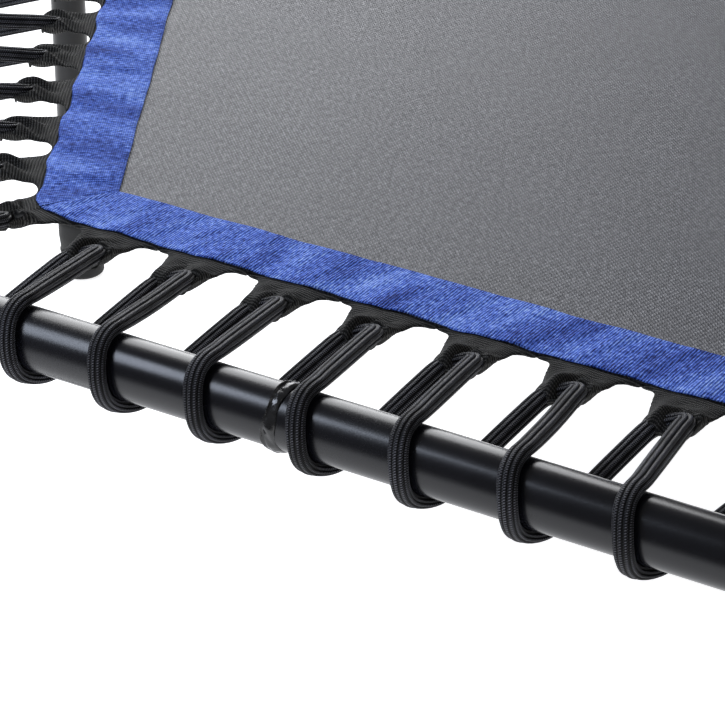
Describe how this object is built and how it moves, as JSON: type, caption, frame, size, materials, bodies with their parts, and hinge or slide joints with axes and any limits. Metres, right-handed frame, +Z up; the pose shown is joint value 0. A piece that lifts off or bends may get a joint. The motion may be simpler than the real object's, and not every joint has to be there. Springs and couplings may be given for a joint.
{
  "type": "trampoline",
  "caption": "Hexagonal fitness trampoline: welded tube frame on bolted legs, woven mat with a blue edge band, webbing tabs and one laced elastic cord.",
  "frame": {"origin": "on the floor under the middle of the mat", "axes": "+Z up; two opposite corners of the hexagon lie on the X axis, and two sides run along X"},
  "size_m": [1.2212, 1.1046, 0.3054],
  "materials": {
    "powder_coat": "satin black powder coat",
    "zinc": "zinc plated",
    "rubber": "matte moulded rubber",
    "mat_weave": "woven polypropylene, fine twill, slight sheen",
    "blue_band": "blue woven band, matte",
    "webbing": "black ribbed webbing, matte",
    "cord": "black braided elastic cord"
  },
  "bodies": {
    "frame": {"frame_segment_1": "powder_coat", "frame_segment_2": "powder_coat", "frame_segment_3": "powder_coat", "frame_segment_4": "powder_coat", "frame_segment_5": "powder_coat", "frame_segment_6": "powder_coat", "weld_bead_1": "powder_coat", "weld_bead_2": "powder_coat", "weld_bead_3": "powder_coat", "weld_bead_4": "powder_coat", "weld_bead_5": "powder_coat", "weld_bead_6": "powder_coat", "leg_bracket_1": "powder_coat", "leg_bracket_2": "powder_coat", "leg_bracket_3": "powder_coat", "leg_bracket_4": "powder_coat", "leg_bracket_5": "powder_coat", "leg_bracket_6": "powder_coat", "leg_bolt_1": "zinc", "leg_bolt_2": "zinc", "leg_bolt_3": "zinc", "leg_bolt_4": "zinc", "leg_bolt_5": "zinc", "leg_bolt_6": "zinc", "leg_tube_1": "powder_coat", "leg_tube_2": "powder_coat", "leg_tube_3": "powder_coat", "leg_tube_4": "powder_coat", "leg_tube_5": "powder_coat", "leg_tube_6": "powder_coat", "rubber_foot_1": "rubber", "rubber_foot_2": "rubber", "rubber_foot_3": "rubber", "rubber_foot_4": "rubber", "rubber_foot_5": "rubber", "rubber_foot_6": "rubber", "elastic_cord": "cord", "cord_ferrule": "zinc"},
    "mat": {"jumping_mat": "mat_weave", "edge_band_1": "blue_band", "edge_band_2": "blue_band", "edge_band_3": "blue_band", "edge_band_4": "blue_band", "edge_band_5": "blue_band", "edge_band_6": "blue_band", "tab_strip_1": "webbing", "tab_strip_2": "webbing", "tab_strip_3": "webbing", "tab_strip_4": "webbing", "tab_strip_5": "webbing", "tab_strip_6": "webbing"}
  },
  "joints": [
    {"name": "mat_bounce", "type": "slide", "parent": "frame", "child": "mat", "axis": [0, 0, 1], "range_m": [-0.1, 0], "stiffness_N_per_m": 5000, "springref_m": 0.01, "deforming": ["elastic_cord"]}
  ]
}
